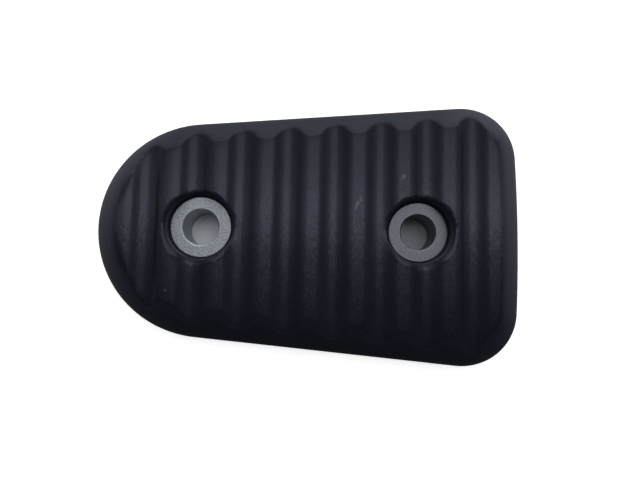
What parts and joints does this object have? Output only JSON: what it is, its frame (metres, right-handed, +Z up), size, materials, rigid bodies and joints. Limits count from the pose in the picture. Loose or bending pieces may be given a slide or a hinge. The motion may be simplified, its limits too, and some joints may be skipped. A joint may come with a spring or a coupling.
{
  "type": "motorcycle heel rest",
  "caption": "Tapered moulded rubber pad with a grooved tread and recessed steel bolt sleeves, bolted to a motorcycle foot control to carry the rider's heel.",
  "frame": {"origin": "on the flat underside, halfway between the two bolt holes, which is also the middle of the underside's box", "axes": "+X along the pad towards its wide end, +Y across it, +Z up out of the tread"},
  "size_m": [0.08, 0.05, 0.01],
  "materials": {
    "rubber": "satin moulded black",
    "steel": "matt grey turned steel"
  },
  "bodies": {
    "root": {"heel_pad": "rubber", "front_sleeve": "steel", "rear_sleeve": "steel"}
  },
  "joints": []
}
